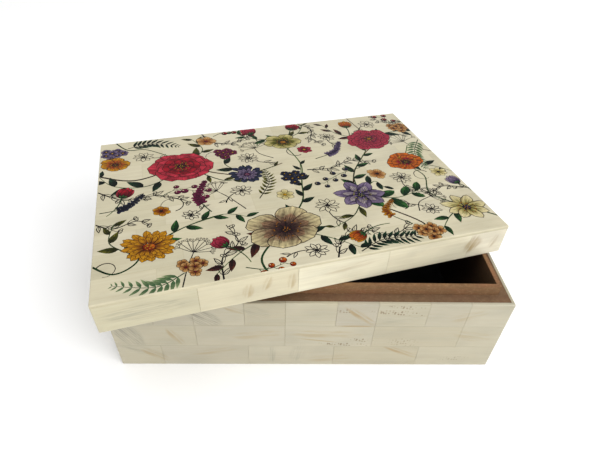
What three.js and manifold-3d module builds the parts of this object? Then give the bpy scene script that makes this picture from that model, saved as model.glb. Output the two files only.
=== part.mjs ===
// Bone inlay box: a hollow board box faced with bone tiles, with a lift-off lid lying askew on it.
// Millimetres. X runs along the length to the right, Y from the front to the back, Z up.
// The origin is the middle of the box's underside.
import * as THREE from "three";
import { RoundedBoxGeometry } from "three/addons/geometries/RoundedBoxGeometry.js";
import { mergeVertices } from "three/addons/utils/BufferGeometryUtils.js";
import Module from "manifold-3d";

const wasm = await Module();
wasm.setup();

// Outside of the box and of its lid
const length = 228.6;
const depth = 152.4;
const wallHeight = 57.8;
const lidHeight = 20;

// Thicknesses of the bone, the boards and the liner
const bone = 1.9;
const wallBoard = 5.6;
const baseBoard = 5;
const liner = 2.1;
const lidTopBoard = 5.8;

// The liner stands above the walls as a lip, and the lid's walls drop over it with this clearance
const lipRise = 6.8;
const lipClearance = 0.5;

// Glue line between neighbouring pieces, and the rounding of the outer bone edges
const glueLine = 0.1;
const arris = 0.8;
const arrisSteps = 3;

// Bone tiles are laid in courses, and each course has its first joint at a place of its own.
// The walls' top course has two runs of joints, because its tiles are cut again above the middle joints.
const tileLength = 51.8;
const shortestTile = 8;
const grooveDepth = 0.4;
const wallCourses = 3;
const lowerFirstJoint = 26.5;
const middleFirstJoint = 48.5;
const upperFirstJoint = 25.5;
const lidSideFirstJoint = 48.9;
const lidTopCourses = 9;
const lidTopFirstJoints = [31, 45, 22, 38, 16, 49, 27, 41, 19];

// The lid lies flat on the lip, turned about the vertical and pushed aside
const lidTurn = 15.85;
const lidShiftX = -15.1;
const lidShiftY = 2.9;

// Depths of the layers of a wall, measured inwards from its outside
const boardOutside = bone + glueLine;
const boardInside = boardOutside + wallBoard;
const linerOutside = boardInside + glueLine;
const linerInside = linerOutside + liner;
const lidBoardInside = linerOutside - lipClearance;

const wallFirstJoints = [[lowerFirstJoint], [middleFirstJoint], [upperFirstJoint, middleFirstJoint]];

const lipTop = wallHeight + lipRise;
const lidBoneUnderside = lidHeight - bone;
const lidBoardUnderside = lidBoneUnderside - lidTopBoard;

const boneFinish = { color: 0xd8d1ba, roughness: 0.35, metalness: 0 };
const lidSideFinish = { color: 0xe2dbc0, roughness: 0.3, metalness: 0 };
const printedFinish = { color: 0xe4dcc4, roughness: 0.15, metalness: 0 };
const boardFinish = { color: 0x7d5f47, roughness: 0.85, metalness: 0 };

// A closed block between two values on each axis
function block(x, y, z) {
  const geometry = new THREE.BoxGeometry(1, 1, 1);
  const corners = geometry.attributes.position;
  for (let i = 0; i < corners.count; i++) {
    const side = [corners.getX(i), corners.getY(i), corners.getZ(i)].map((value) => (value > 0 ? 1 : 0));
    corners.setXYZ(i, x[side[0]], y[side[1]], z[side[2]]);
  }
  return geometry;
}

// The solid of a closed geometry
function toSolid(geometry) {
  geometry.deleteAttribute("normal");
  geometry.deleteAttribute("uv");
  const merged = mergeVertices(geometry);
  const vertProperties = new Float32Array(merged.attributes.position.array);
  const triVerts = new Uint32Array(merged.index.array);
  return new wasm.Manifold(new wasm.Mesh({ numProp: 3, vertProperties, triVerts }));
}

// The geometry of a solid
function toGeometry(solid) {
  const mesh = solid.getMesh();
  const geometry = new THREE.BufferGeometry();
  geometry.setAttribute("position", new THREE.BufferAttribute(mesh.vertProperties, 3));
  geometry.setIndex(new THREE.BufferAttribute(mesh.triVerts, 1));
  geometry.computeVertexNormals();
  return geometry;
}

// The outside of the box or of the lid, with every edge rounded
function roundedOutside(height) {
  const geometry = new RoundedBoxGeometry(length, depth, height, arrisSteps, arris);
  geometry.translate(0, 0, height / 2);
  return toSolid(geometry);
}

function addPiece(group, name, geometry, finish) {
  const mesh = new THREE.Mesh(geometry, new THREE.MeshStandardMaterial(finish));
  mesh.name = name;
  group.add(mesh);
}

// The stretch between two equal insets on either side of the middle
function between(size, inset) {
  return [-size / 2 + inset, size / 2 - inset];
}

// The four sides, each with the inward direction of its outer face
const sides = [
  { name: "front", across: "y", outward: -1 },
  { name: "back", across: "y", outward: 1 },
  { name: "left", across: "x", outward: -1 },
  { name: "right", across: "x", outward: 1 },
];

// The stretch across a side's wall between two depths from its outside
function layer(side, outer, inner) {
  const half = (side.across === "y" ? depth : length) / 2;
  const stretch = [side.outward * (half - outer), side.outward * (half - inner)];
  return stretch.sort((a, b) => a - b);
}

// The stretch along a side: the front and back run past the ends of the left and right
function run(side, outer, inner) {
  return side.across === "y" ? between(length, outer) : between(depth, inner + glueLine);
}

// A block lying in a side's wall
function wallBlock(side, along, across, z) {
  return side.across === "y" ? block(along, across, z) : block(across, along, z);
}

// The joints of one course between two ends: each first joint is repeated at every tile length
function jointPlaces(ends, firstJoints) {
  const places = [];
  for (const firstJoint of firstJoints) {
    for (let place = ends[0] + firstJoint; place < ends[1] - shortestTile; place += tileLength) {
      places.push(place);
    }
  }
  return places.sort((a, b) => a - b);
}

// The tiles of one course between two ends, with a glue line between neighbours
function tileStretches(ends, firstJoints) {
  const stretches = [];
  let start = ends[0];
  for (const place of jointPlaces(ends, firstJoints)) {
    stretches.push([start, place - glueLine / 2]);
    start = place + glueLine / 2;
  }
  stretches.push([start, ends[1]]);
  return stretches;
}

// The heights of one course out of several equal ones, with a glue line between neighbours
function courseStretch(ends, courses, course) {
  const pitch = (ends[1] - ends[0]) / courses;
  const start = ends[0] + course * pitch + (course > 0 ? glueLine / 2 : 0);
  const end = ends[0] + (course + 1) * pitch - (course < courses - 1 ? glueLine / 2 : 0);
  return [start, end];
}

// The grooves at the joints of a course that is one strip
function jointStretches(stretches) {
  return stretches.slice(1).map((stretch, index) => [stretches[index][1], stretch[0]]);
}

// A course of tiles held together behind its joints, trimmed to the rounded outside
function jointedStrip(strip, grooves, outside) {
  const cut = grooves.reduce((solid, groove) => solid.subtract(toSolid(groove)), toSolid(strip));
  return toGeometry(cut.intersect(outside));
}

// Box: base board, wall boards and liner
const box = new THREE.Group();
const baseX = between(length, linerOutside);
const baseY = between(depth, linerOutside);
addPiece(box, "base_board", block(baseX, baseY, [0, baseBoard]), boardFinish);

for (const side of sides) {
  const boardRun = run(side, boardOutside, boardInside);
  const boardAcross = layer(side, boardOutside, boardInside);
  const board = wallBlock(side, boardRun, boardAcross, [0, wallHeight]);
  addPiece(box, `${side.name}_board`, board, boardFinish);

  const linerRun = run(side, linerOutside, linerInside);
  const linerAcross = layer(side, linerOutside, linerInside);
  const lining = wallBlock(side, linerRun, linerAcross, [baseBoard, lipTop]);
  addPiece(box, `${side.name}_liner`, lining, boardFinish);
}

// Box: bone tiles, one by one on the front and by courses on the other sides
const boxOutside = roundedOutside(wallHeight);
for (const side of sides) {
  const boneRun = run(side, 0, bone);
  const boneAcross = layer(side, 0, bone);
  for (let course = 0; course < wallCourses; course++) {
    const z = courseStretch([0, wallHeight], wallCourses, course);
    const tiles = tileStretches(boneRun, wallFirstJoints[course % wallFirstJoints.length]);
    if (side.name === "front") {
      tiles.forEach((tile, index) => {
        const solid = toSolid(wallBlock(side, tile, boneAcross, z)).intersect(boxOutside);
        addPiece(box, `front_bone_tile_${course + 1}_${index + 1}`, toGeometry(solid), boneFinish);
      });
      continue;
    }
    const strip = wallBlock(side, boneRun, boneAcross, z);
    const across = layer(side, 0, grooveDepth);
    const grooves = jointStretches(tiles).map((groove) => wallBlock(side, groove, across, z));
    const name = `${side.name}_bone_course_${course + 1}`;
    addPiece(box, name, jointedStrip(strip, grooves, boxOutside), boneFinish);
  }
}

// Lid: top board and wall boards, hollow below
const lid = new THREE.Group();
const lidTopX = between(length, boardOutside);
const lidTopY = between(depth, boardOutside);
const lidTopZ = [lidBoardUnderside, lidBoneUnderside];
addPiece(lid, "lid_top_board", block(lidTopX, lidTopY, lidTopZ), boardFinish);

for (const side of sides) {
  const boardRun = run(side, boardOutside, lidBoardInside);
  const boardAcross = layer(side, boardOutside, lidBoardInside);
  const board = wallBlock(side, boardRun, boardAcross, [0, lidBoardUnderside]);
  addPiece(lid, `lid_${side.name}_board`, board, boardFinish);
}

// Lid: bone strips round the sides, one course high
const lidOutside = roundedOutside(lidHeight);
const lidSideZ = [0, lidBoneUnderside];
for (const side of sides) {
  const boneRun = run(side, 0, bone);
  const boneAcross = layer(side, 0, bone);
  const tiles = tileStretches(boneRun, [lidSideFirstJoint]);
  if (side.name === "front") {
    tiles.forEach((tile, index) => {
      const solid = toSolid(wallBlock(side, tile, boneAcross, lidSideZ)).intersect(lidOutside);
      addPiece(lid, `lid_front_bone_tile_${index + 1}`, toGeometry(solid), lidSideFinish);
    });
    continue;
  }
  const strip = wallBlock(side, boneRun, boneAcross, lidSideZ);
  const across = layer(side, 0, grooveDepth);
  const grooves = jointStretches(tiles).map((groove) => wallBlock(side, groove, across, lidSideZ));
  addPiece(lid, `lid_${side.name}_bone_strip`, jointedStrip(strip, grooves, lidOutside), lidSideFinish);
}

// Lid: printed bone top, laid in courses from the front to the back
const lidBoneX = between(length, 0);
const lidBoneZ = [lidBoneUnderside, lidHeight];
const lidGrooveZ = [lidHeight - grooveDepth, lidHeight];
for (let course = 0; course < lidTopCourses; course++) {
  const y = courseStretch(between(depth, 0), lidTopCourses, course);
  const tiles = tileStretches(lidBoneX, [lidTopFirstJoints[course % lidTopFirstJoints.length]]);
  const grooves = jointStretches(tiles).map((groove) => block(groove, y, lidGrooveZ));
  const geometry = jointedStrip(block(lidBoneX, y, lidBoneZ), grooves, lidOutside);
  addPiece(lid, `lid_top_bone_course_${course + 1}`, geometry, printedFinish);
}

lid.position.set(lidShiftX, lidShiftY, lipTop);
lid.rotation.z = THREE.MathUtils.degToRad(lidTurn);

const boneBox = new THREE.Group();
boneBox.add(box, lid);

export default boneBox;
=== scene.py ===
"""Bone inlay box with a printed lift-off lid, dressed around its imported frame.

Lengths are metres in the frame, and millimetres inside each finish and in the print.
"""

import logging
import math
import random
from collections.abc import Callable
from dataclasses import dataclass, field, replace
from enum import Enum
from functools import partial
from typing import Any

import bpy
import numpy as np
from bpy.types import Material, Mesh, Node, NodeTree, Object
from mathutils import Matrix, Vector
from mathutils.geometry import delaunay_2d_cdt


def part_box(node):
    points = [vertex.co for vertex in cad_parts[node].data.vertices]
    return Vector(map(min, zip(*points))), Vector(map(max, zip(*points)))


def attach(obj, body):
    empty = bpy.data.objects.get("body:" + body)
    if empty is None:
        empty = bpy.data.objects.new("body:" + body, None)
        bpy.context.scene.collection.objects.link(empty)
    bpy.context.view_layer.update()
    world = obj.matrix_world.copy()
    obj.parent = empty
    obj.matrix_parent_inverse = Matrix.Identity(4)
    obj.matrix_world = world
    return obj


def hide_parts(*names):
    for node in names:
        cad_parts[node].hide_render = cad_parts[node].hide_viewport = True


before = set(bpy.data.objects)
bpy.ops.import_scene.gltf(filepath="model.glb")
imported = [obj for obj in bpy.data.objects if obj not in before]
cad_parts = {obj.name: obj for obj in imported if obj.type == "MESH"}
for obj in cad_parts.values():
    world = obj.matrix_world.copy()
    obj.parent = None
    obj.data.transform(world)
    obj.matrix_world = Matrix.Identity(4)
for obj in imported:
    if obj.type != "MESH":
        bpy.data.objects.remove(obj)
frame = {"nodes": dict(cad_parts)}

Spot = tuple[float, float]
Triple = tuple[float, float, float]

MM = 0.001
LOG = logging.getLogger("bone_box")
SIDES = ("front", "back", "left", "right")

# The outer plan of the box and of its lid, the bone's thickness, and the glue line behind it
LENGTH = 228.6
DEPTH = 152.4
BONE = 1.9
GLUE = 0.1

# The lid's turn on the box, counter-clockwise from above
LID_TURN = math.radians(15.85)

# The level at which the liner ends and the lid lies
LIP_TOP = 64.6

# Bone tiles: the length of a whole tile, and the first joint of each course
TILE_LENGTH = 51.8
LOWER_JOINT = 26.5
MIDDLE_JOINT = 48.5
UPPER_JOINT = 25.5
LID_SIDE_JOINT = 48.9
TOP_JOINTS = (31.0, 45.0, 22.0, 38.0, 16.0, 49.0, 27.0, 41.0, 19.0)

# How deep a full bump reads, in metres
RELIEF = 0.0002

# Names of the layers that carry the inks and each corner's place on its petal
BASE_INK = "base_ink"
TIP_INK = "tip_ink"
PETAL_MAP = "petal"

# Where the print leaves the bone bare
BARE = "#ffffff"

# Points of the print closer than this are one, and a petal's wash may run this far past its tip
NEAR = 1e-3
PETAL_REACH = 1.2

# The heading away from the reader, and the turn from one seed in a flower's heart to the next
FAR_SIDE = 90.0
SEED_TURN = 2.4

# Widths of the drawn lines, at their start and end
PETAL_VEIN = (0.42, 0.12)
SMALL_VEIN = (0.34, 0.16)
GOBLET_VEIN = (0.36, 0.14)
STAMEN = (0.34, 0.26)
MIDRIB = (0.5, 0.14)
SIDE_VEIN = (0.26, 0.1)
LEAFY_STEM = (0.95, 0.35)
FROND_STEM = (0.7, 0.25)
BERRY_STEM = (0.7, 0.3)
BERRY_TWIG = (0.4, 0.3)
SPIKE_STEM = (0.8, 0.3)
GOBLET_STEM = (0.9, 0.5)
UMBEL_STEM = (0.75, 0.5)
UMBEL_RAY = (0.46, 0.38)
SEED_STALK = (0.36, 0.32)
SPRIG_STEM = (1.0, 0.5)
SPRIG_VEIN = (0.4, 0.24)
BELL_STALK = (0.5, 0.42)
DAISY_STEM = (0.6, 0.85)
TENDRIL = (0.75, 0.25)


def linear(colour: str) -> tuple[float, float, float, float]:
    """Turn an sRGB hex colour into linear light.

    Args:
        colour: Six hex digits after a hash sign.

    Returns:
        Red, green, blue and alpha.
    """
    shares = [int(colour[i:i + 2], 16) / 255 for i in (1, 3, 5)]
    light = [s / 12.92 if s <= 0.04045 else ((s + 0.055) / 1.055) ** 2.4 for s in shares]
    return (light[0], light[1], light[2], 1.0)


def add_node(tree: NodeTree, kind: str, *inputs: Any, **settings: Any) -> Node:
    """Add one node with its settings and links.

    Args:
        tree: The tree that gets the node.
        kind: The node's type, without the leading ShaderNode.
        inputs: What the first sockets take, in order, or one dictionary of socket to value. A node
            or a socket is linked instead.
        settings: Properties of the node itself.

    Returns:
        The new node.
    """
    node = tree.nodes.new("ShaderNode" + kind)
    for name, value in settings.items():
        setattr(node, name, value)
    by_socket = inputs[0] if inputs and isinstance(inputs[0], dict) else dict(enumerate(inputs))
    for key, value in by_socket.items():
        if isinstance(value, Node):
            value = next(socket for socket in value.outputs if socket.enabled)
        if isinstance(value, bpy.types.NodeSocket):
            tree.links.new(value, node.inputs[key])
        else:
            node.inputs[key].default_value = value
    return node


def ramp(tree: NodeTree, share: Any, stops: list[tuple[float, tuple]], interpolation: str = "CONSTANT") -> Node:
    """Run through linear colours as a share rises from 0 to 1.

    Args:
        tree: The material's tree.
        share: The share.
        stops: The level and the colour of each stop, in order.
        interpolation: How one colour changes to the next.

    Returns:
        The node that gives the colour.
    """
    node = add_node(tree, "ValToRGB", share)
    node.color_ramp.interpolation = interpolation
    elements = node.color_ramp.elements
    for index, (level, colour) in enumerate(stops):
        stop = elements[index] if index < 2 else elements.new(1.0)
        stop.position, stop.color = level, colour
    return node


def streaked(tree: NodeTree, place: Node, stretch: Triple, levels: tuple[float, ...], detail: float = 3.0,
             roughness: float = 0.5) -> tuple[Node, Node]:
    """Spread a cloudy pattern over a face and take its share.

    Args:
        tree: The material's tree.
        place: Node with millimetres on the face.
        stretch: Waves a millimetre along, through and up the face.
        levels: Where the share starts and ends, and the shares there if they aren't 0 and 1.
        detail: Layers of finer waves.
        roughness: How strong the finer waves are.

    Returns:
        The pattern and its share.
    """
    waves = add_node(tree, "VectorMath", place, stretch, operation="MULTIPLY")
    cloud = add_node(tree, "TexNoise", {"Vector": waves, "Scale": 1.0, "Detail": detail, "Roughness": roughness})
    return cloud, add_node(tree, "MapRange", cloud, *levels)


def lay_over(tree: NodeTree, colour: Any, *washes: tuple[Any, str]) -> Any:
    """Lay tones over a colour.

    Args:
        tree: The material's tree.
        colour: The colour below.
        washes: The share and the tone of each, in order.

    Returns:
        The colour on top.
    """
    for share, tone in washes:
        colour = add_node(tree, "Mix", {0: share, 6: colour, 7: linear(tone)}, data_type="RGBA")
    return colour


def new_material(name: str) -> tuple[Material, NodeTree]:
    """Make an empty node material.

    Args:
        name: The material's name.

    Returns:
        The material and its node tree.
    """
    material = bpy.data.materials.new(name)
    material.use_nodes = True
    material.node_tree.nodes.clear()
    return material, material.node_tree


def close_surface(tree: NodeTree, colour: Node, height: Node, relief: float, gloss: dict[str, float]) -> None:
    """Give a material its colour, its faint relief and its gloss.

    Args:
        tree: The material's tree.
        colour: The colour.
        height: The height.
        relief: How much of the height shows.
        gloss: The shader's roughness, refraction and so on.
    """
    bump = add_node(tree, "Bump", {"Strength": relief, "Distance": RELIEF, "Height": height})
    add_node(tree, "OutputMaterial", add_node(tree, "BsdfPrincipled", {"Base Color": colour, "Normal": bump, **gloss}))


def dress(node_name: str, material: Material) -> None:
    """Give a CAD node its material.

    Args:
        node_name: The node's name.
        material: The finish that every slot takes.
    """
    mesh = bpy.data.objects[node_name].data
    mesh.materials.clear()
    mesh.materials.append(material)
    LOG.info("dressed %s", node_name)


def cad_nodes(stem: str) -> list[str]:
    """Return the CAD nodes whose names start with a stem, in order."""
    return sorted(node for node in frame["nodes"] if node.startswith(stem))


@dataclass(frozen=True)
class Face:
    """Where a face's pattern starts, and how far it is turned about the vertical.

    Patterns on it are in millimetres: along the face, through it, and up.
    """

    corner: Triple
    turn: float = 0.0

    def millimetres(self, tree: NodeTree) -> Node:
        """Return a node that turns Object coordinates into millimetres on this face."""
        place = add_node(tree, "TexCoord").outputs["Object"]
        return add_node(tree, "Mapping", place, self.corner, (0, 0, self.turn), (MM,) * 3, vector_type="TEXTURE")


class MarkKind(Enum):
    """What a natural mark in the bone looks like."""

    PORES = "rows of small dark dots"
    BAND = "a soft yellow-brown band"
    STREAKS = "a bundle of grey streaks"
    PATCH = "an even yellow-brown patch"


PORES, BAND, STREAKS, PATCH = MarkKind


@dataclass(frozen=True)
class Mark:
    """A natural mark in the bone, placed in millimetres along and up its face."""

    kind: MarkKind
    along: float
    up: float
    half_length: float
    half_width: float
    lean: float
    strength: float


@dataclass(frozen=True)
class BoneFinish:
    """Camel bone, sawn into tiles, glued, sanded flush and lacquered.

    Each tile keeps a tint and a run of grain of its own. The polish gives a soft satin gloss, the
    pores show as dots, and the joints as hairlines of yellowed filler. Joints are given by the first
    one on the face; several of them cross each other, or belong to one course each where the
    courses have a width.
    """

    name: str
    face: Face
    joints: tuple[float, ...]
    tones: tuple[str, ...]
    marks: tuple[Mark, ...] = ()
    course_width: float = 0.0
    front_edge: float = 0.0
    stain: str = "#a18a60"
    grey: str = "#8a8676"
    pore: str = "#7d6a4e"
    joint_tone: str = "#94865f"
    joint_share: float = 0.13
    roughness: float = 0.34
    refraction: float = 1.5
    relief: float = 0.12
    seed: float = 0.0

    def tile_share(self, tree: NodeTree, axes: Node) -> tuple[Node, Node, Node]:
        """Number the tiles and find the nearest joint.

        Args:
            tree: The material's tree.
            axes: Node with millimetres along, through and up the face.

        Returns:
            The tile's number, a random value for it, and the distance to the nearest joint.
        """
        add = partial(add_node, tree)
        number, nearest, runs = None, None, list(self.joints)
        if self.course_width:
            from_edge = add("Math", axes.outputs[1], self.front_edge, operation="SUBTRACT")
            courses = add("Math", from_edge, self.course_width, operation="DIVIDE")
            course = add("Math", courses, operation="FLOOR")
            share = add("MapRange", course, -0.5, len(runs) - 0.5)
            firsts = [(k / len(runs), (joint / TILE_LENGTH,) * 3 + (1,)) for k, joint in enumerate(runs)]
            runs = [add("Math", ramp(tree, share, firsts), TILE_LENGTH, operation="MULTIPLY")]
            # No course has more than seven tiles
            number = add("Math", course, 7.0, operation="MULTIPLY")
            folded = add("Math", courses, 0.5, operation="PINGPONG")
            nearest = add("Math", folded, self.course_width, operation="MULTIPLY")
        for first in runs:
            shifted = add("Math", axes.outputs[0], first, operation="SUBTRACT")
            tiles = add("Math", shifted, TILE_LENGTH, operation="DIVIDE")
            whole = add("Math", add("Math", tiles, operation="FLOOR"), 1.0)
            folded = add("Math", shifted, TILE_LENGTH / 2, operation="PINGPONG")
            number = whole if number is None else add("Math", number, whole)
            nearest = folded if nearest is None else add("Math", nearest, folded, operation="MINIMUM")
        chance = add("TexWhiteNoise", {"W": add("Math", number, self.seed)}, noise_dimensions="1D")
        return number, chance, nearest

    def mark_mask(self, tree: NodeTree, place: Node, mark: Mark) -> Node:
        """Find the share of one mark at each point, soft at its edges.

        Args:
            tree: The material's tree.
            place: Node with millimetres on the face.
            mark: The mark.

        Returns:
            The share.
        """
        add = partial(add_node, tree)
        lean = (0, -math.radians(mark.lean), 0)
        local = add("Mapping", place, (mark.along, 0, mark.up), lean, vector_type="TEXTURE")
        sizes = (1 / mark.half_length, 0, 1 / mark.half_width)
        inside = add("VectorMath", local, sizes, operation="MULTIPLY")
        reach = add("VectorMath", inside, operation="LENGTH").outputs["Value"]
        soft = add("MapRange", reach, 0.55, 1.0, 1.0, 0.0, interpolation_type="SMOOTHSTEP")
        if mark.kind is PATCH:
            pattern = 1.0
        elif mark.kind is PORES:
            # Dots 1.7 mm apart along the mark, in rows 1.5 mm apart
            rows = add("VectorMath", local, (1 / 1.7, 0, 1 / 1.5), operation="MULTIPLY")
            cells = add("TexVoronoi", {"Vector": rows, "Scale": 1.0, "Randomness": 0.5})
            pattern = add("MapRange", cells.outputs["Distance"], 0.26, 0.4, 1.0, 0.0)
        else:
            # Streaks lie about 1 mm apart and a band's lines about 3 mm, both some 20 mm long
            stretch = (0.05, 0, 0.9) if mark.kind is STREAKS else (0.04, 0, 0.35)
            _, pattern = streaked(tree, local, stretch, (0.42, 0.62), roughness=0.6)
        share = add("Math", soft, pattern, operation="MULTIPLY")
        return add("Math", share, mark.strength, operation="MULTIPLY")

    def pattern(self, tree: NodeTree) -> tuple[Node, Node]:
        """Build the bone's colour and height.

        Args:
            tree: The material's tree.

        Returns:
            The colour and the height.
        """
        add = partial(add_node, tree)
        place = self.face.millimetres(tree)
        number, chance, nearest = self.tile_share(tree, add("SeparateXYZ", place))

        # Each tile takes its grain from another place, up to 300 mm away
        offset = add("Math", chance, 300.0, operation="MULTIPLY")
        tile_place = add("VectorMath", place, add("CombineXYZ", offset, self.seed * 9.0, offset))

        # The tones follow each other from tile to tile
        turns = add("Math", add("Math", number, 0.5), len(self.tones), operation="DIVIDE")
        turns = add("Math", turns, operation="FRACT")
        tint = ramp(tree, turns, [(k / len(self.tones), linear(tone)) for k, tone in enumerate(self.tones)])

        # Long grain lines about 1 mm apart, and clouds about 15 mm across
        grain, grain_share = streaked(tree, tile_place, (0.035, 0.6, 0.95), (0.3, 0.75, 0.0, 0.22), 5.0, 0.6)
        cloud, cloud_share = streaked(tree, tile_place, (0.035, 0.05, 0.09), (0.42, 0.78, 0.0, 0.3))

        # Small pores about 1 mm apart, where the clouds are dense
        pore_place = add("VectorMath", tile_place, (0.55, 0.9, 0.9), operation="MULTIPLY")
        pores = add("TexVoronoi", {"Vector": pore_place, "Scale": 1.0, "Randomness": 1.0})
        dots = add("MapRange", pores.outputs["Distance"], 0.05, 0.14, 0.35, 0.0)
        dot_share = add("Math", dots, add("MapRange", cloud, 0.5, 0.6), operation="MULTIPLY")

        # Joints are full to 0.1 mm from their middle and gone at 0.35 mm
        line = add("MapRange", nearest, 0.1, 0.35, self.joint_share, 0.0)
        tones = {PORES: self.pore, BAND: self.stain, STREAKS: self.grey, PATCH: self.stain}
        marks = [(self.mark_mask(tree, place, mark), tones[mark.kind]) for mark in self.marks]
        colour = lay_over(tree, tint, (grain_share, self.stain), (cloud_share, self.grey),
                          (dot_share, self.pore), *marks, (line, self.joint_tone))
        return colour, add("Math", grain, dot_share, operation="SUBTRACT")

    def material(self) -> Material:
        """Mix the lacquered bone.

        Returns:
            The material.
        """
        material, tree = new_material(self.name)
        close_surface(tree, *self.pattern(tree), self.relief, {"Roughness": self.roughness, "IOR": self.refraction})
        return material


@dataclass(frozen=True)
class BoardFinish:
    """Medium-density fibreboard, sawn and left raw, with its inner faces sprayed matt black.

    The sawn edge gives a warm brown with short fibres and faint pressed layers. The black spray
    stops at the inner edges, so the board shows brown above and outside it.
    """

    name: str
    face: Face
    hollow: Spot
    black_from: float
    black_to: float
    tone: str = "#84613d"
    dark: str = "#543d28"
    red: str = "#825437"
    pale: str = "#a38462"
    black: str = "#070505"
    roughness: float = 0.82
    refraction: float = 1.46
    relief: float = 0.35

    def material(self) -> Material:
        """Mix the board, raw and sprayed.

        Returns:
            The material.
        """
        material, tree = new_material(self.name)
        add = partial(add_node, tree)
        place = self.face.millimetres(tree)
        axes = add("SeparateXYZ", place)

        # Fibres about 0.5 mm thick and 5 mm long, pressed layers about 2 mm apart, and loose fibre
        # ends and resin specks about 1 mm apart
        fibre, fibre_share = streaked(tree, place, (0.22, 0.22, 2.0), (0.35, 0.7, 0.0, 0.7), 6.0, 0.7)
        _, red_share = streaked(tree, place, (0.045, 0.045, 0.4), (0.45, 0.7, 0.0, 0.6))
        _, speck_share = streaked(tree, place, (0.7, 0.9, 1.1), (0.5, 0.72, 0.0, 0.45), 4.0, 0.75)

        # The sprayed edge wavers by about half a millimetre
        level = add("Math", axes.outputs[2], add("MapRange", fibre, 0.3, 0.7, -0.3, 0.3))
        spray = add("MapRange", level, self.black_from - 0.1, self.black_from + 0.1)
        limits = [add("MapRange", level, self.black_to - 0.15, self.black_to + 0.15, 1.0, 0.0)]
        for axis, half in zip(axes.outputs, self.hollow):
            away = add("Math", axis, operation="ABSOLUTE")
            limits.append(add("MapRange", away, half - 0.02, half + 0.03, 1.0, 0.0))
        for limit in limits:
            spray = add("Math", spray, limit, operation="MULTIPLY")

        colour = lay_over(tree, linear(self.tone), (fibre_share, self.dark), (red_share, self.red),
                          (speck_share, self.pale), (spray, self.black))
        close_surface(tree, colour, fibre, self.relief, {"Roughness": self.roughness, "IOR": self.refraction})
        return material


@dataclass(frozen=True)
class PrintFinish:
    """A floral print on bone tiles, sealed under a clear gloss resin.

    The inks are thin washes, so the bone's grain shows through them. Each wash runs from one tone
    at the base of a petal to another at its tip, with finer lines along it.
    """

    bone: BoneFinish
    roughness: float = 0.24
    refraction: float = 1.42
    gloss: float = 0.3
    relief: float = 0.04

    def material(self) -> Material:
        """Mix the printed and sealed bone.

        Returns:
            The material.
        """
        material, tree = new_material("Printed bone under clear resin")
        add = partial(add_node, tree)
        bone_colour, height = self.bone.pattern(tree)
        base, tip = (add("Attribute", attribute_name=name).outputs["Color"] for name in (BASE_INK, TIP_INK))
        petal = add("UVMap", uv_map=PETAL_MAP)
        along = add("SeparateXYZ", petal).outputs[0]

        # Watercolour pooling about 2 mm across shifts the change of tone
        _, pooled = streaked(tree, self.bone.face.millimetres(tree), (0.5,) * 3, (0.25, 0.75, -0.18, 0.18))
        run = add("MapRange", add("Math", along, pooled), 0.2, 1.05, interpolation_type="SMOOTHSTEP")
        wash = add("Mix", {0: run, 6: base, 7: tip}, data_type="RGBA")

        # Lines along the petal, about seven across its width, and other ones for each ink
        lines = add("VectorMath", petal, (1.1, 5.5, 0), operation="MULTIPLY")
        lines = add("VectorMath", lines, add("VectorMath", base, (40, 40, 40), operation="MULTIPLY"))
        vein = add("TexNoise", {"Vector": lines, "Scale": 1.0, "Detail": 3.0})
        vein_share = add("MapRange", vein, 0.34, 0.68, 1.35, 0.42)
        lined = add("VectorMath", {0: wash, "Scale": vein_share}, operation="SCALE")
        bare = add("Math", along, -0.5, operation="LESS_THAN")
        ink = add("Mix", {0: bare, 6: lined, 7: linear(BARE)}, data_type="RGBA")
        colour = add("Mix", {0: 1.0, 6: bone_colour, 7: ink}, data_type="RGBA", blend_type="MULTIPLY")
        close_surface(tree, colour, height, self.relief, {
            "Roughness": self.roughness, "IOR": self.refraction, "Specular IOR Level": self.gloss})
        return material


@dataclass(frozen=True)
class Ink:
    """A printed wash: its tone at the base, its tone at the tip, and the tone of the line round it."""

    base: str
    tip: str
    line: str = "#24202a"

    def dark(self) -> "Ink":
        """Return an even wash in the line's tone."""
        return Ink(self.line, self.line, self.line)


BLACK = Ink("#17151b", "#17151b", "#17151b")
OUTLINE = Ink(BARE, BARE, "#1e1c24")
CRIMSON = Ink("#3c0414", "#c01638", "#2c0410")
CRIMSON_LIGHT = Ink("#64061e", "#e03c60", "#440616")
ROSE = Ink("#680a2a", "#de4270", "#3c0618")
MAGENTA = Ink("#54103c", "#93286c", "#300a24")
VIOLET = Ink("#2c1c54", "#9c8ecc", "#1c1438")
VIOLET_LIGHT = Ink("#7b6ab4", "#d5cfe8", "#3a2c62")
NAVY = Ink("#12152e", "#303a68", "#0a0c1c")
AMBER = Ink("#8c3a08", "#eeb024", "#4c2408")
YELLOW = Ink("#b07c10", "#f2cc34", "#5e4008")
ORANGE = Ink("#861e08", "#ec7e24", "#481406")
CREAM = Ink("#c6bd84", "#fbf6e0", "#2c2428")
SHADED_CREAM = Ink("#6c4640", "#f4ecd0", "#281e24")
LEMON_CREAM = Ink("#9c9440", "#f0ecba", "#2c2a20")
BLUSH = Ink("#a8642c", "#f0c894", "#46281e")
OCHRE = Ink("#9c5c10", "#e0a030", "#5c380c")
HEART = Ink("#1c0e16", "#401c28", "#120a10")
OLIVE = Ink("#343a0e", "#8c8e34", "#1e220a")
OLIVE_SHADE = Ink("#343c10", "#5c6420", "#262c0c")
LEAF = Ink("#0c3c20", "#4c9450", "#0a2214")
LEAF_SHADE = Ink("#0c3a20", "#1c6436", "#0c2c1a")
DEEP_LEAF = Ink("#061e18", "#1c5640", "#05140f")
DEEP_SHADE = Ink("#071e1a", "#0f3a2c", "#071c16")
PALE_LEAF = Ink("#5c8468", "#a4c4a0", "#2c4a3a")
WINE_LEAF = Ink("#3c1a20", "#80402c", "#241014")
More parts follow.
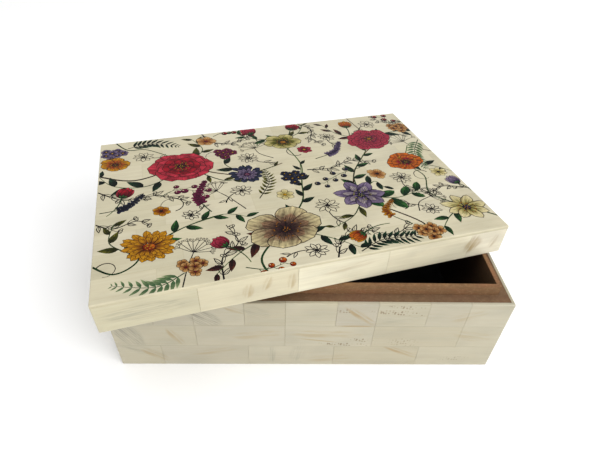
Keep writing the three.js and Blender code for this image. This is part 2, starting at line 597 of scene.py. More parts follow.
WINE_SHADE = Ink("#2a1218", "#542420", "#241014")
STEM = Ink("#24482c", "#486c34", "#12261a")
BROWN_STEM = Ink("#3e2c22", "#6e5238", "#241a14")
GLINT = Ink("#f4ecdc", "#f4ecdc")
FLAME = Ink("#3a1c28", "#a88878")


class PetalForm(Enum):
    """How a petal or leaf widens from its base to its tip: where it is widest, and how blunt it is."""

    POINTED = (0.75, 1.0)
    SLIM = (0.9, 1.25)
    OVAL = (1.0, 0.65)
    ROUND = (1.7, 0.55)
    SPOON = (2.3, 0.7)

    def half_widths(self, share: np.ndarray) -> np.ndarray:
        """Return the half width at each share of the length, as a share of the largest."""
        skew, blunt = self.value
        return np.sin(math.pi * share ** skew) ** blunt


POINTED, SLIM, OVAL, ROUND, SPOON = PetalForm


@dataclass
class Shape:
    """One printed shape on the lid: its outline, its wash and its own frame."""

    outline: np.ndarray
    base: str
    tip: str
    root: np.ndarray
    basis: np.ndarray


def spin(degrees: float) -> np.ndarray:
    """Return the matrix that turns the plane counter-clockwise."""
    turn = math.radians(degrees)
    return np.array([[math.cos(turn), -math.sin(turn)], [math.sin(turn), math.cos(turn)]])


def polar(turn: float, away: float) -> Spot:
    """Return the spot at a turn in radians and a distance from the origin."""
    return (away * math.cos(turn), away * math.sin(turn))


def beyond(spot: Spot, way: np.ndarray) -> Spot:
    """Return where a way that sets off from a spot ends."""
    return (spot[0] + way[-1, 0], spot[1] + way[-1, 1])


def stations(route: np.ndarray) -> list[tuple[Spot, float]]:
    """Return each step of a route as its spot and its heading in degrees."""
    return [((x, y), math.degrees(turn)) for x, y, turn in route]


def path(heading: float, length: float, curl: float, steps: int) -> np.ndarray:
    """Walk from the origin on a heading that turns evenly.

    Args:
        heading: First heading in degrees.
        length: Length walked.
        curl: Degrees turned over the whole way.
        steps: Number of steps.

    Returns:
        Rows of x, y and heading in radians.
    """
    turns = np.radians(heading + curl * np.arange(steps + 1) / steps)
    x, y = (np.concatenate([[0.0], np.cumsum(part(turns[:-1]) * (length / steps))]) for part in (np.cos, np.sin))
    return np.stack([x, y, turns], axis=1)


def vine(*stops: Spot, steps: int = 7) -> np.ndarray:
    """Run a smooth route through stops.

    Args:
        stops: The points passed.
        steps: Steps between two stops.

    Returns:
        Rows of x, y and heading in radians.
    """
    rows = np.array([stops[0], *stops, stops[-1]], float)
    points = []
    for before, start, end, after in zip(rows, rows[1:], rows[2:], rows[3:]):
        for share in np.arange(steps) / steps:
            points.append(0.5 * (2 * start + (end - before) * share
                                 + (2 * before - 5 * start + 4 * end - after) * share ** 2
                                 + (3 * start - before - 3 * end + after) * share ** 3))
    points.append(rows[-1])
    line = np.array(points)
    ahead = np.gradient(line, axis=0)
    return np.column_stack([line, np.unwrap(np.arctan2(ahead[:, 1], ahead[:, 0]))])


def inset(outline: np.ndarray, depth: float) -> np.ndarray:
    """Move a counter-clockwise outline inwards.

    Args:
        outline: The outline's points.
        depth: Distance moved.

    Returns:
        The moved points.
    """
    ahead = np.roll(outline, -1, axis=0) - np.roll(outline, 1, axis=0)
    size = np.maximum(np.linalg.norm(ahead, axis=1, keepdims=True), 1e-9)
    return outline + np.stack([-ahead[:, 1], ahead[:, 0]], axis=1) / size * depth


@dataclass(frozen=True)
class Foliage:
    """The leaves along one stem.

    The width is a share of the length, the shade is the dark half's ink, and the splay is the angle
    between the stem and a leaf in degrees.
    """

    count: int
    length: float
    width: float
    ink: Ink
    shade: Ink
    form: PetalForm
    splay: float
    first: float = 0.1
    last: float = 0.95
    fade: float = 0.4
    veins: int = 3
    veined_length: float = 6.0


@dataclass(frozen=True)
class Ring:
    """One ring of petals.

    The radius is their reach, and the width a share of it. A flame is a wash at each petal's base.
    The ruffle is how wavy the edges are, the bend how far the tips lean, and the cup how much
    longer the far petals are. It starts at a heading in degrees and is shifted away from the reader.
    """

    radius: float
    count: int
    form: PetalForm
    ink: Ink
    width: float
    flame: Ink | None
    ruffle: float
    line: float
    bend: float
    cup: float
    start: float
    veins: int
    shift: float = 0.0


@dataclass
class Pen:
    """Draws one motif at its place on the lid, seen a little from the side.

    Widths of lines are in millimetres, and headings and curls in degrees, counter-clockwise.
    """

    shapes: list[Shape]
    place: Spot
    squash: float
    squash_heading: float
    rng: random.Random
    frame: np.ndarray = field(init=False)

    def __post_init__(self) -> None:
        """Work out the motif's frame on the lid."""
        axis = spin(self.squash_heading)[:, 0]
        self.frame = np.eye(2) - (1 - self.squash) * np.outer(axis, axis)

    def about(self, value: float, share: float = 0.1) -> float:
        """Return a value varied by a share either way."""
        return value * self.rng.uniform(1 - share, 1 + share)

    def fill(self, points: np.ndarray, ink: Ink, root: np.ndarray, basis: np.ndarray, line: float = 0.0) -> None:
        """Print a shape, and its line first where it has one.

        Args:
            points: The outline in the motif's frame.
            ink: The wash.
            root: Where the wash starts.
            basis: The wash's length and half width as columns.
            line: Width of the line inside the outline, or 0.
        """
        placed = points @ self.frame.T + self.place
        following = np.roll(placed, -1, axis=0)
        if np.sum(placed[:, 0] * following[:, 1] - placed[:, 1] * following[:, 0]) < 0:
            placed = placed[::-1]
        own_frame = self.frame @ root + self.place, self.frame @ basis
        if line > 0:
            self.shapes.append(Shape(placed, ink.line, ink.line, *own_frame))
            placed = inset(placed, line)
        self.shapes.append(Shape(placed, ink.base, ink.tip, *own_frame))

    def petal(self, root: Spot, heading: float, length: float, width: float, form: PetalForm, ink: Ink,
              line: float, bend: float = 0.0, ruffle: float = 0.0, points: int = 8, side: float = -1.0) -> None:
        """Print one petal or leaf, or the half of it on one side of its middle line.

        Args:
            root: Where it grows from.
            heading: Its heading in degrees.
            length: Its length.
            width: Its largest width.
            form: How it widens.
            ink: Its wash.
            line: Width of its line, or 0.
            bend: How far its tip leans, as a share of its length.
            ruffle: How wavy its edge is, as a share of its width.
            points: Points on each side.
            side: Reach of the left edge as a share of the right one's, from -1 for a whole petal.
        """
        # Each edge has about three waves, a little out of step with the other's
        share = np.linspace(0.0, 1.0, points + 1)
        phase = self.rng.uniform(0, 6.28)
        half = form.half_widths(share) * width / 2
        lean = bend * length * share ** 2
        right = lean - half * (1 + ruffle * np.sin(share * 17 + phase) * share)
        left = lean - side * half * (1 + ruffle * np.sin(share * 19 + phase + 2) * share)
        outline = np.concatenate([np.stack([share * length, right], axis=1),
                                  np.stack([share * length, left], axis=1)[-2:0:-1]])
        turn = spin(heading)
        basis = turn @ np.array([[length, 0.0], [0.0, width / 2]])
        self.fill(outline @ turn.T + root, ink, np.array(root), basis, line)

    def stroke(self, route: np.ndarray, widths: Spot, ink: Ink, root: Spot = (0, 0)) -> None:
        """Print a line that tapers along a route.

        Args:
            route: Rows of x, y and heading.
            widths: Its widths at the start and at the end.
            ink: Its wash.
            root: Where the route's origin goes.
        """
        width = np.linspace(*widths, len(route))[:, None] / 2
        normal = np.stack([-np.sin(route[:, 2]), np.cos(route[:, 2])], axis=1)
        spine = route[:, :2] + root
        outline = np.concatenate([spine - normal * width, (spine + normal * width)[::-1]])
        span = spine[-1] - spine[0]
        basis = np.array([[span[0], -span[1] * 0.1], [span[1], span[0] * 0.1]])
        self.fill(outline, ink, spine[0], basis)

    def dot(self, centre: Spot, radius: float, ink: Ink, line: float = 0.0, sides: int = 9) -> None:
        """Print a round dot whose wash starts at the lower left.

        Args:
            centre: Its centre.
            radius: Its radius.
            ink: Its wash.
            line: Width of its line.
            sides: Number of sides.
        """
        angles = np.arange(sides) * 2 * math.pi / sides
        rim = np.stack([np.cos(angles), np.sin(angles)], axis=1) * radius + centre
        self.fill(rim, ink, np.array(centre) - radius * 0.7, np.array([[1.5, -1.5], [1.5, 1.5]]) * radius, line)

    def ring(self, *sizes: Any) -> None:
        """Print one ring of petals, the far ones first and longest.

        Args:
            sizes: The ring's fields, in order.
        """
        ring = Ring(*sizes)
        root = tuple(spin(FAR_SIDE)[:, 0] * ring.shift)
        headings = [ring.start + k * 360 / ring.count + self.rng.uniform(-5, 5) for k in range(ring.count)]
        for heading in sorted(headings, key=lambda h: -math.cos(math.radians(h - FAR_SIDE))):
            length = self.about(ring.radius, 0.05) * (1 + ring.cup * math.cos(math.radians(heading - FAR_SIDE)))
            lean = ring.bend * self.rng.uniform(0.4, 1.3)
            width = ring.radius * ring.width
            self.petal(root, heading, length, width, ring.form, ring.ink, ring.line, lean, ring.ruffle)
            if ring.flame is not None:
                self.petal(root, heading, length * 0.66, width * 0.5, OVAL, ring.flame, 0, lean * 0.5, points=5)
            for k in range(ring.veins):
                spread = (k - (ring.veins - 1) / 2) * ring.width * 44 / ring.veins
                vein = path(heading + spread, length * self.rng.uniform(0.55, 0.8), lean * 60 - spread * 0.7, 5)
                self.stroke(vein, PETAL_VEIN, ring.ink.dark(), root)

    def heart(self, radius: float, ink: Ink, tips: Ink, stamens: int, reach: float = 2.0, shift: float = 0.0) -> None:
        """Print a flower's heart with its stamens.

        Args:
            radius: The heart's radius.
            ink: Its wash.
            tips: Wash of the stamens' tips.
            stamens: Number of stamens.
            reach: Their reach as a share of the radius.
            shift: Distance that the heart is moved away from the reader.
        """
        middle = (0, shift)
        for k in range(stamens):
            way = path(k * 360 / stamens + self.rng.uniform(-9, 9), radius * self.about(reach, 0.2),
                       self.rng.uniform(-30, 30), 3)
            self.stroke(way, STAMEN, ink.dark(), middle)
            self.dot(beyond(middle, way), 0.62, tips, 0.16, 6)
        self.dot(middle, radius, ink, 0.25, 14)
        for k in range(8):
            x, y = polar(k * SEED_TURN, radius * 0.28 * math.sqrt(k + 0.5))
            self.dot((x, shift + y), radius * 0.15, tips, sides=5)

    def leaf(self, root: Spot, heading: float, length: float, bend: float, kind: Foliage) -> None:
        """Print a leaf with a dark half, a midrib and side veins.

        Args:
            root: Where it grows from.
            heading: Its heading in degrees.
            length: Its length.
            bend: How far its tip leans.
            kind: Its form and its inks.
        """
        width = length * kind.width
        self.petal(root, heading, length, width, kind.form, kind.ink, 0.26, bend, points=7)
        self.petal(root, heading, length * 0.97, width * 0.84, kind.form, kind.shade, 0, bend, points=6, side=0.0)
        midrib = path(heading, length * 0.95, math.degrees(math.atan(2 * bend)), 5)
        self.stroke(midrib, MIDRIB, kind.ink.dark(), root)
        for k in range(kind.veins if length > kind.veined_length else 0):
            spot = (k + 0.8) / (kind.veins + 1)
            base = spin(heading) @ np.array([spot * length, bend * length * spot ** 2]) + root
            reach = width * 0.4 * float(kind.form.half_widths(np.array([spot]))[0])
            for side in (-1, 1):
                self.stroke(path(heading + side * 42, reach, -side * 20, 2), SIDE_VEIN, kind.ink.dark(), tuple(base))

    def leaves(self, route: np.ndarray, *sizes: Any) -> None:
        """Print a stem with leaves on alternate sides.

        Args:
            route: Rows of x, y and heading.
            sizes: The leaves' fields, in order.
        """
        kind = Foliage(*sizes)
        self.stroke(route, LEAFY_STEM, STEM)
        for k in range(kind.count):
            share = kind.first + (kind.last - kind.first) * k / max(kind.count - 1, 1)
            spot, aim = stations(route)[round(share * (len(route) - 1))]
            side = 1 if k % 2 else -1
            size = self.about(kind.length, 0.15) * (1 - kind.fade * k / kind.count)
            heading = aim + side * self.about(kind.splay, 0.2)
            self.leaf(spot, heading, size, -side * self.rng.uniform(0.02, 0.14), kind)

    def frond(self, route: np.ndarray, leaf: float, ink: Ink) -> None:
        """Print a frond of narrow leaflets, one pair at each step of its route.

        Args:
            route: Rows of x, y and heading.
            leaf: Length of the longest leaflet.
            ink: The leaflets' wash.
        """
        self.stroke(route, FROND_STEM, ink.dark())
        for k, (spot, aim) in enumerate(stations(route[2:]), 2):
            size = leaf * math.sin(math.pi * (0.3 + 0.66 * k / len(route)))
            for side in (-1, 1):
                self.petal(spot, aim + side * 58, self.about(size), size * 0.3, POINTED, ink, 0, -side * 0.14,
                           points=4)

    def berries(self, route: np.ndarray, size: float, ink: Ink) -> None:
        """Print a sprig with a berry at each step of its route.

        Args:
            route: Rows of x, y and heading.
            size: A berry's radius.
            ink: The berries' wash.
        """
        self.stroke(route, BERRY_STEM, STEM)
        for k, (spot, aim) in enumerate(stations(route[2:])):
            side = 1 if k % 2 else -1
            twig = path(aim + side * 52, size * self.rng.uniform(1.6, 2.8), -side * 35, 3)
            self.stroke(twig, BERRY_TWIG, STEM, spot)
            centre, radius = beyond(spot, twig), self.about(size, 0.16)
            self.dot(centre, radius, ink, 0.26, 11)
            self.dot((centre[0] - radius * 0.3, centre[1] + radius * 0.35), radius * 0.22, GLINT, sides=5)

    def florets(self, route: np.ndarray, size: float, ink: Ink) -> None:
        """Print a flower spike, dense with florets along the second half of its route.

        Args:
            route: Rows of x, y and heading.
            size: Length of the lowest florets.
            ink: Their wash.
        """
        self.stroke(route, SPIKE_STEM, STEM)
        upper = stations(route[len(route) // 3:])
        for k, (spot, aim) in enumerate(upper):
            reach = size * (1 - 0.6 * k / len(upper))
            for side in (-80, 80, -40, 40, 0):
                self.petal(spot, aim + side + self.rng.uniform(-9, 9), self.about(reach, 0.16), reach * 0.55, ROUND,
                           ink, 0.2, points=4)

    def umbel(self, route: np.ndarray, reach: float) -> None:
        """Print a fine ink umbel: a stem that ends in a fan of nine rays with small seeds.

        Args:
            route: Rows of x, y and heading.
            reach: Length of the rays.
        """
        self.stroke(route, UMBEL_STEM, BLACK)
        foot, aim = stations(route)[-1]
        for k in range(9):
            ray = path(aim + (k / 8 - 0.5) * 160, self.about(reach, 0.12), self.rng.uniform(-14, 14), 4)
            self.stroke(ray, UMBEL_RAY, BLACK, foot)
            base = beyond(foot, ray)
            for twig in (-44, 0, 44):
                end = path(math.degrees(ray[-1, 2]) + twig, reach * 0.26, 0, 2)
                self.stroke(end, SEED_STALK, BLACK, base)
                self.dot(beyond(base, end), 0.72, OUTLINE, 0.34, 6)

    def ink_sprig(self, route: np.ndarray, count: int, size: float) -> None:
        """Print a sprig in black line alone: leaves and small bells on alternate sides.

        Args:
            route: Rows of x, y and heading.
            count: Number of leaves and of bells.
            size: Length of a leaf.
        """
        self.stroke(route, SPRIG_STEM, BLACK)
        for k in range(count):
            spot, aim = stations(route)[round((0.08 + 0.9 * k / count) * (len(route) - 1))]
            side = 1 if k % 2 else -1
            self.petal(spot, aim + side * self.about(50), self.about(size, 0.2), size * 0.42, POINTED, OUTLINE,
                       0.54, -side * 0.1, points=6)
            self.stroke(path(aim + side * 50, size * 0.7, -side * 10, 3), SPRIG_VEIN, BLACK, spot)
            twig = path(aim - side * 40, size * 0.8, side * 50, 4)
            self.stroke(twig, BELL_STALK, BLACK, spot)
            for lobe in (-34, 34, 0):
                self.petal(beyond(spot, twig), math.degrees(twig[-1, 2]) + lobe, self.about(size * 0.55),
                           size * 0.34, ROUND, OUTLINE, 0.52, points=5)

    def ink_daisy(self, heading: float, radius: float, count: int) -> None:
        """Print a daisy in black line alone, on a bent stem with two narrow leaves.

        Args:
            heading: Where the stem comes from, in degrees.
            radius: Its reach.
            count: Number of petals.
        """
        stem = path(heading, radius * 2.6, 60, 10)
        self.stroke(stem, DAISY_STEM, BLACK)
        for index, side in ((6, 40), (8, -44)):
            spot, aim = stations(stem)[index]
            self.petal(spot, aim + side, radius * 0.9, radius * 0.3, POINTED, OUTLINE, 0.5, points=6)
        self.small_flower((0, 0), radius, OUTLINE, BLACK, count, OVAL, 0.52)
        for k in range(8):
            self.dot(polar(math.radians(k * 45 + 20), radius * 0.3), 0.5, BLACK, 0.1, 5)

    def small_flower(self, centre: Spot, radius: float, ink: Ink, eye: Ink, count: int = 5,
                     form: PetalForm = ROUND, line: float = 0.28) -> None:
        """Print a small open flower.

        Args:
            centre: Its centre.
            radius: Its reach.
            ink: Its petals' wash.
            eye: Its eye's wash.
            count: Number of petals.
            form: How the petals widen.
            line: Width of their lines.
        """
        start = self.rng.uniform(0, 360)
        for k in range(count):
            heading = start + k * 360 / count
            self.petal(centre, heading, self.about(radius), radius * 4.4 / count, form, ink, line, points=5)
            self.stroke(path(heading, radius * 0.55, 8, 2), SMALL_VEIN, ink.dark(), centre)
        self.dot(centre, radius * 0.2, eye, 0.18, 7)

    def cluster(self, spread: float, count: int, radius: float, ink: Ink, eye: Ink) -> None:
        """Print a round cluster of small flowers.

        Args:
            spread: Radius of the cluster.
            count: Number of flowers.
            radius: Reach of a flower.
            ink: Their wash.
            eye: Their eyes' wash.
        """
        for k in range(count):
            turn = k * SEED_TURN + self.rng.uniform(-0.2, 0.2)
            centre = polar(turn, spread * math.sqrt((count - k - 0.5) / count))
            self.small_flower(centre, self.about(radius), ink, eye)

    def goblet(self, heading: float, length: float, ink: Ink, inner: Ink) -> None:
        """Print a flower seen from the side, its petals closed to a goblet.

        Args:
            heading: Its heading in degrees.
            length: Its length.
            ink: The outer petals' wash.
            inner: The inner petals' wash.
        """
        for lean, share, wash in ((-30, 0.9, inner), (30, 0.92, inner), (0, 1.0, inner), (-17, 0.94, ink),
                                  (17, 0.9, ink), (2, 0.82, ink)):
            self.petal((0, 0), heading + lean, length * share, length * 0.46, OVAL, wash, 0.3, -lean * 0.004, 0.03)
            self.stroke(path(heading + lean, length * share * 0.7, 0, 3), GOBLET_VEIN, ink.dark())
        for lean in (-36, 36, 0):
            self.petal((0, 0), heading + lean, length * 0.36, length * 0.16, POINTED, LEAF, 0.2, points=5)


# The motifs' places and sizes, in millimetres from the middle of the lid. Black sprigs: route,
# number of leaves, length of a leaf
SPRIGS = (
    (vine((-114, 16), (-98, 4), (-78, 4), (-60, -8)), 8, 6.5),
    (vine((-52, -76), (-50, -60), (-40, -50), (-44, -34)), 6, 6.5),
    (vine((8, -76), (16, -62), (30, -58), (44, -66), (58, -60)), 9, 6.5),
    (vine((114, -36), (98, -30), (84, -34), (72, -24)), 6, 6.0),
    (vine((18, 10), (34, 8), (50, 14), (66, 8)), 7, 6.5),
    (vine((-44, 76), (-36, 60), (-20, 58), (-8, 68)), 7, 6.0),
    (vine((114, 60), (100, 62), (92, 72)), 4, 6.0),
    (vine((30, 76), (38, 64), (34, 50), (42, 40)), 6, 6.0),
    (vine((-114, -16), (-104, -22), (-92, -18), (-84, -24)), 4, 6.0))

# Black umbels: route, length of the rays
UMBELS = (
    (vine((-72, -76), (-68, -62), (-64, -52)), 9), (vine((114, 12), (104, 20), (100, 30)), 9),
    (vine((-30, -22), (-38, -8), (-44, 0)), 8), (vine((0, 30), (-8, 38), (-10, 46)), 8),
    (vine((70, -50), (74, -42), (84, -38)), 7))

# Black daisies: place, heading of the stem, reach, number of petals
DAISIES = (
    (18, -31, 250, 8.4, 10), (-29, -3, 200, 7.2, 9), (-17, 34, 300, 7.8, 11), (-86, 52, 330, 7.4, 9),
    (76, -14, 240, 7.6, 10), (-1, -67, 160, 7.0, 9), (84, 62, 200, 7.0, 8), (78, -50, 120, 6.4, 9),
    (46, 50, 250, 6.8, 10), (-62, -20, 20, 5.6, 8))

# Black tendrils: place, heading, length, curl
TENDRILS = (
    (-70, -14, 20, 34, 300), (20, 30, 200, 34, -320), (62, -46, 10, 26, 300), (-34, 38, 60, 30, 280),
    (-112, -52, 60, 22, -260), (96, -12, 120, 26, 280))

# Stems from flower to flower: route, width, ink
STEMS = (
    (vine((-114, -50), (-104, -58), (-94, -54), (-86, -42), (-66, -30), (-44, -24)), 1.2, STEM),
    (vine((-114, 34), (-92, 24), (-62, 32), (-40, 20), (-22, 14), (4, 22)), 1.4, BROWN_STEM),
    (vine((-30, -76), (-30, -64), (-14, -46), (4, -24), (10, -4), (16, 20), (10, 52)), 1.3, STEM),
    (vine((64, -76), (66, -60), (42, -28), (46, -4), (62, 18), (76, 36), (72, 76)), 1.2, BROWN_STEM),
    (vine((114, -66), (104, -56), (86, -36), (92, -16), (88, 2), (100, 24)), 1.1, STEM),
    (vine((-104, 76), (-96, 64), (-84, 62), (-70, 50)), 1.1, STEM))

# Leafy stems: route, and the leaves along it
LEAFY_STEMS = (
    (vine((-86, -42), (-66, -30), (-44, -24), (-30, -30)), 8, 13, 0.4, LEAF, LEAF_SHADE, POINTED, 46),
    (vine((-62, 30), (-84, 16), (-104, 20), (-114, 34)), 7, 14, 0.44, DEEP_LEAF, DEEP_SHADE, POINTED, 50),
    (vine((-60, 36), (-46, 52), (-52, 70)), 6, 12, 0.4, OLIVE, OLIVE_SHADE, POINTED, 48),
    (vine((-50, 22), (-36, 10), (-22, 14), (0, 20)), 6, 10, 0.34, OLIVE, OLIVE_SHADE, SLIM, 40),
    (vine((-14, -46), (4, -24), (10, -4), (16, 20)), 9, 12, 0.42, DEEP_LEAF, DEEP_SHADE, POINTED, 48),
    (vine((-20, -48), (-40, -58), (-56, -72)), 6, 13, 0.4, WINE_LEAF, WINE_SHADE, POINTED, 42),
    (vine((42, -26), (62, -34), (80, -30)), 6, 14, 0.5, LEAF, LEAF_SHADE, OVAL, 48),
    (vine((42, -28), (30, -44), (14, -52)), 5, 11, 0.36, OLIVE, OLIVE_SHADE, SLIM, 44),
    (vine((42, -28), (46, -4), (62, 18), (76, 36)), 10, 11, 0.42, LEAF, DEEP_SHADE, POINTED, 50),
    (vine((76, 38), (94, 46), (112, 44)), 6, 13, 0.44, DEEP_LEAF, DEEP_SHADE, POINTED, 46),
    (vine((74, 40), (56, 52), (48, 70)), 6, 12, 0.36, WINE_LEAF, WINE_SHADE, SLIM, 42),
    (vine((98, -52), (84, -60), (70, -74)), 5, 11, 0.4, LEAF, LEAF_SHADE, POINTED, 46),
    (vine((88, 2), (104, -6), (114, -16)), 4, 12, 0.44, DEEP_LEAF, DEEP_SHADE, POINTED, 46),
    (vine((10, 54), (-8, 60), (-22, 74)), 6, 11, 0.4, LEAF, LEAF_SHADE, POINTED, 46),
    (vine((10, 54), (26, 60), (34, 74)), 5, 10, 0.36, OLIVE, OLIVE_SHADE, SLIM, 44),
    (vine((-94, -46), (-106, -34), (-104, -18)), 5, 11, 0.42, OLIVE, OLIVE_SHADE, POINTED, 46),
    (vine((-22, 14), (-34, 30), (-30, 42)), 5, 11, 0.42, DEEP_LEAF, DEEP_SHADE, POINTED, 46),
    (vine((42, -26), (56, -14), (60, -22)), 4, 11, 0.42, DEEP_LEAF, DEEP_SHADE, OVAL, 46),
    (vine((-12, -46), (8, -58), (24, -72)), 6, 12, 0.42, DEEP_LEAF, DEEP_SHADE, POINTED, 48))

# Fronds: route, length of a leaflet, ink
FRONDS = (
    (vine((-96, 66), (-80, 70), (-62, 62), steps=6), 8.5, DEEP_LEAF),
    (vine((22, -74), (38, -68), (56, -70), (70, -62), steps=6), 7.5, DEEP_LEAF),
    (vine((112, 30), (100, 12), (98, -8), steps=7), 8, PALE_LEAF),
    (vine((-70, -66), (-84, -72), (-104, -66), steps=6), 8, PALE_LEAF),
    (vine((-20, -14), (-10, 2), (-10, 16), steps=6), 6.5, OLIVE))

# Berry sprigs: route, radius of a berry, ink
BERRIES = (
    (vine((-36, 70), (-24, 76), (-10, 70), steps=4), 2.3, CRIMSON),
    (vine((54, 4), (38, 0), (24, -8), steps=4), 2.2, NAVY),
    (vine((-78, 2), (-66, 8), (-52, 0), steps=4), 2.2, MAGENTA),
    (vine((100, 56), (104, 64), (98, 74), steps=3), 2.3, CRIMSON),
    (vine((-40, -70), (-30, -74), (-20, -72), steps=3), 2.0, ORANGE))

# Flower spikes: route, length of a floret, ink
SPIKES = (
    (vine((-50, -20), (-56, -4), (-50, 12), steps=8), 4.4, MAGENTA),
    (vine((28, 22), (44, 28), (52, 40), steps=8), 4.2, VIOLET),
    (vine((60, -60), (50, -46), (58, -36), steps=7), 3.6, AMBER),
    (vine((-112, -6), (-98, -4), (-88, 6), steps=7), 4.0, NAVY))

# Clusters: place, radius, number of flowers, reach of one, ink, eye
CLUSTERS = (
    (6, 4, 7.0, 8, 3.6, NAVY, YELLOW), (106, 52, 6.5, 7, 4.2, BLUSH, HEART),
    (-32, 44, 6.0, 7, 3.6, MAGENTA, YELLOW), (-106, 60, 7.0, 7, 4.0, VIOLET, YELLOW),
    (66, -68, 6.5, 7, 4.0, BLUSH, HEART), (-66, -62, 6.0, 6, 3.6, BLUSH, CRIMSON))

# Goblets: place, heading, length, outer ink, inner ink
GOBLETS = (
    (-100, 6, 70, 12, CRIMSON, CRIMSON_LIGHT), (-8, 66, 100, 13, ROSE, CRIMSON_LIGHT),
    (22, 66, 60, 12, CRIMSON, ROSE), (30, -60, 200, 11, ORANGE, AMBER), (-46, -52, 130, 11, ROSE, ROSE),
    (66, 60, 80, 12, ORANGE, AMBER), (110, -30, 110, 11, VIOLET, VIOLET_LIGHT))

# Small flowers: place, reach, ink, eye, number of petals
SMALL_FLOWERS = (
    (-4, -14, 6.5, CREAM, YELLOW, 6), (-78, -12, 6.0, AMBER, HEART, 6), (62, -6, 7.0, BLUSH, HEART, 5),
    (-42, 64, 7.5, BLUSH, CRIMSON, 5), (104, -14, 6.5, CREAM, HEART, 7), (24, 36, 6.0, ROSE, YELLOW, 6))


